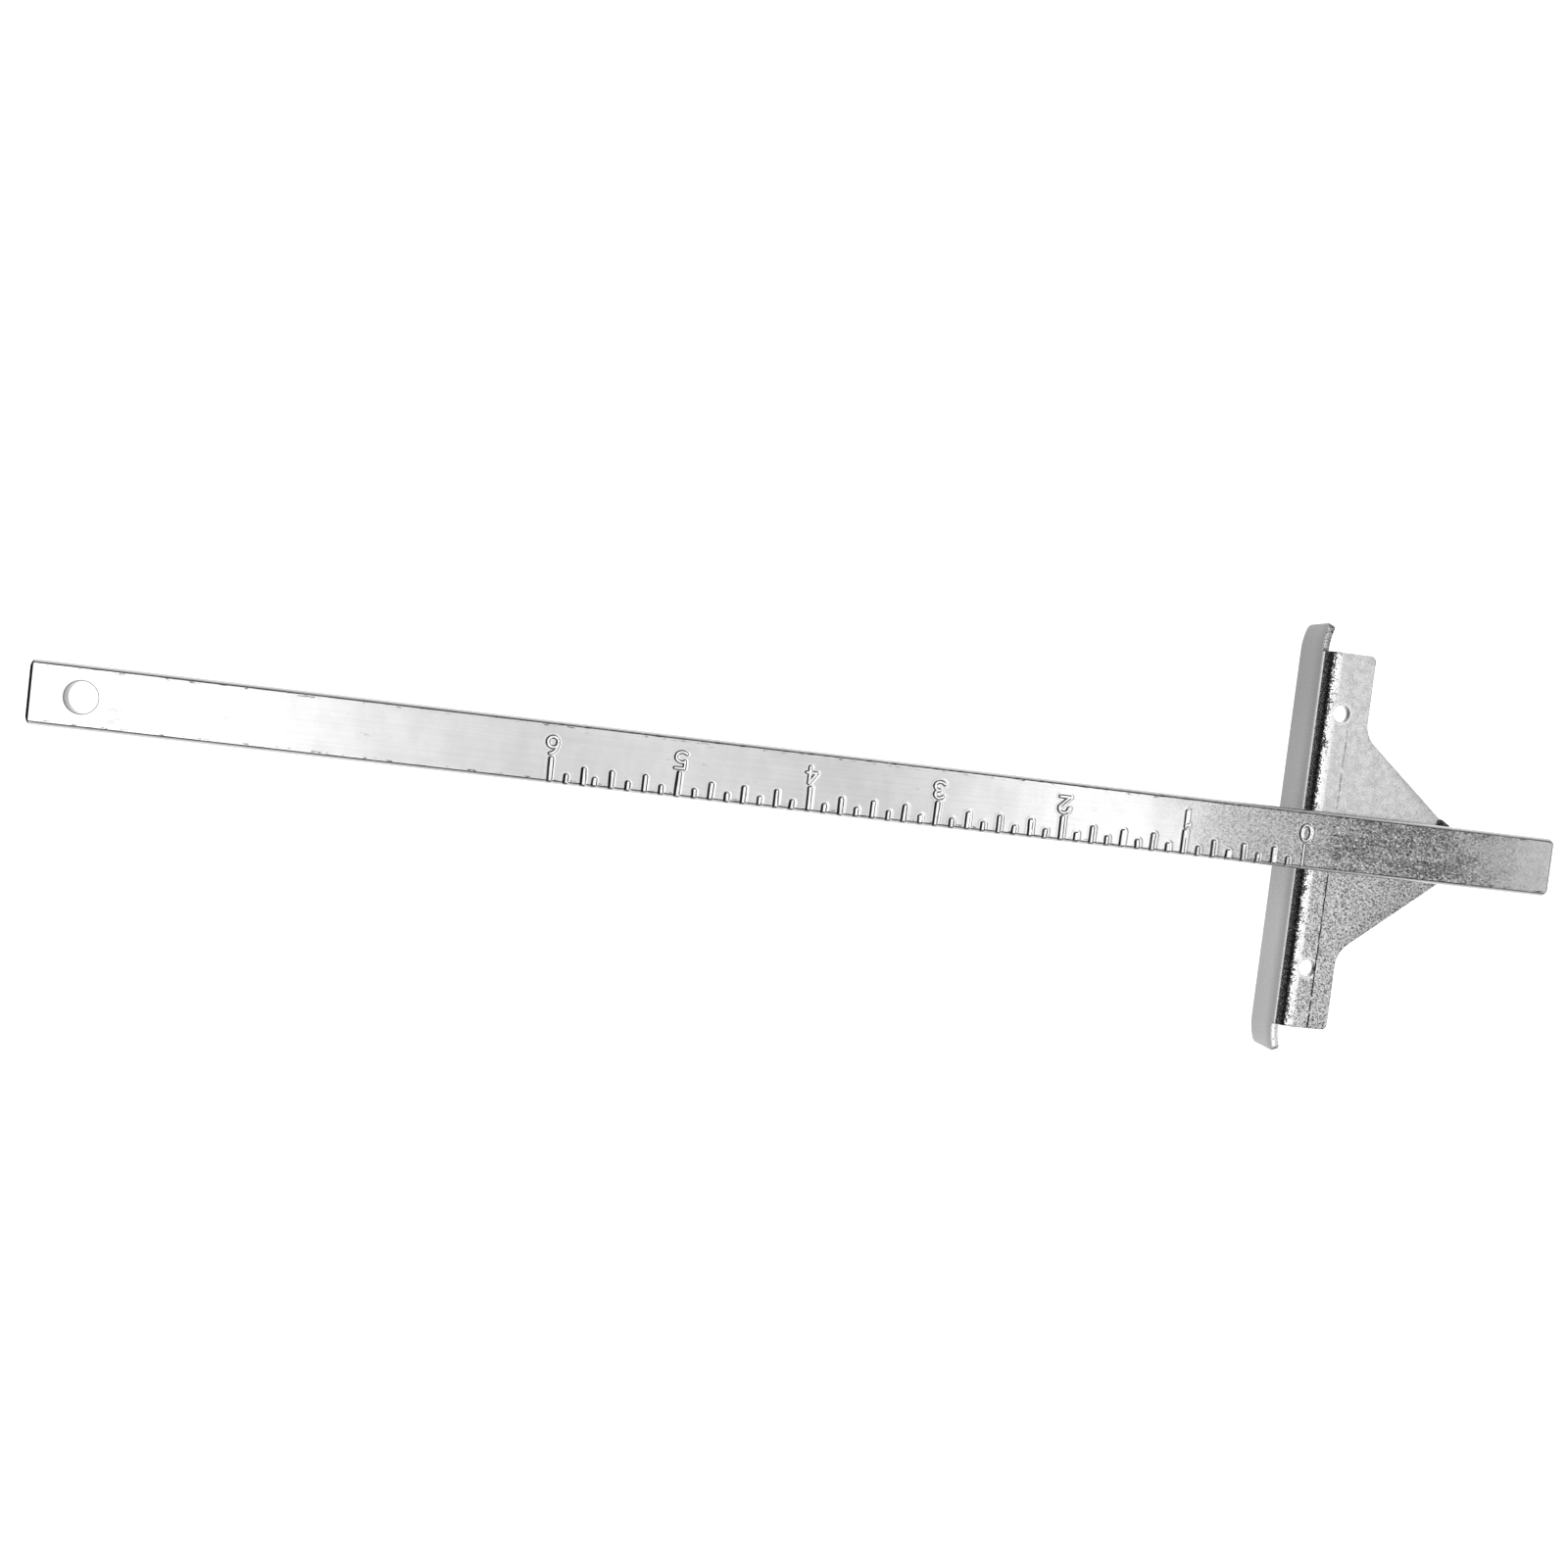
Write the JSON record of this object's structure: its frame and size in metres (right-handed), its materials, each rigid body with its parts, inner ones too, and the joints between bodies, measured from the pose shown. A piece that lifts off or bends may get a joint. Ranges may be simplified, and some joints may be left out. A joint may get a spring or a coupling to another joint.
{
  "type": "edge guide",
  "caption": "Flat graduated steel bar welded across a bent sheet head with a long square fence face, T square in plan, for guiding a saw or marking parallel to an edge.",
  "frame": {"origin": "centre of the flat band of the head's working face, midway along its length and height", "axes": "+X along the bar from the working face towards the six inch mark, +Y towards the graduated edge, +Z out of the graduated face"},
  "size_m": [0.3, 0.0892, 0.0162],
  "materials": {
    "bar_zinc": "bright zinc plate",
    "head_zinc": "bright zinc plate over mill grain",
    "weld_metal": "dark weld bead"
  },
  "bodies": {
    "root": {"graduated_bar": "bar_zinc", "fence_head": "head_zinc", "weld_nuggets": "weld_metal", "gusset_tack_weld": "weld_metal"}
  },
  "joints": []
}
